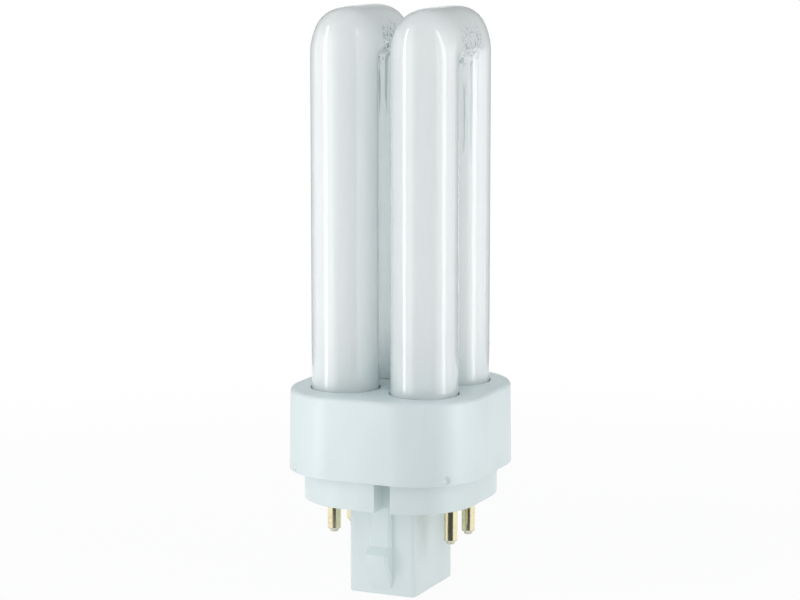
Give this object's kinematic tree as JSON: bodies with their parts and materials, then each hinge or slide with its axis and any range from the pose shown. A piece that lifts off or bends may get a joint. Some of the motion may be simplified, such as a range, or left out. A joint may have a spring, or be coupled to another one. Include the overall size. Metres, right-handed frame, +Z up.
{
  "type": "plug-in fluorescent lamp",
  "caption": "Compact fluorescent lamp with U-shaped coated glass tubes side by side in a moulded base with a keyed rim, a rectangular snap post and round contact pins.",
  "frame": {"origin": "centre of the flat lower end of the post", "axes": "+Z up along the lamp's axis towards the crowns of the tubes; X along the wider pin spacing, from one U to the other; each U lies in a plane parallel to YZ"},
  "size_m": [0.0356, 0.0356, 0.103],
  "materials": {
    "coated_glass": "clear glass over an even white inner coating",
    "collar_plastic": "satin moulded, pale cool white",
    "cap_plastic": "satin moulded, pale cool white",
    "pin_brass": "bright drawn brass",
    "wire_metal": "plain nickelled wire",
    "cement": "dull baked cement"
  },
  "bodies": {
    "root": {"discharge_tube": "coated_glass", "collar": "collar_plastic", "cap": "cap_plastic", "basing_cement": "cement", "contact_pin_front_left": "pin_brass", "contact_pin_front_right": "pin_brass", "contact_pin_back_right": "pin_brass", "contact_pin_back_left": "pin_brass", "lead_wire_front_left": "wire_metal", "lead_wire_front_right": "wire_metal", "lead_wire_back_right": "wire_metal", "lead_wire_back_left": "wire_metal"}
  },
  "joints": []
}
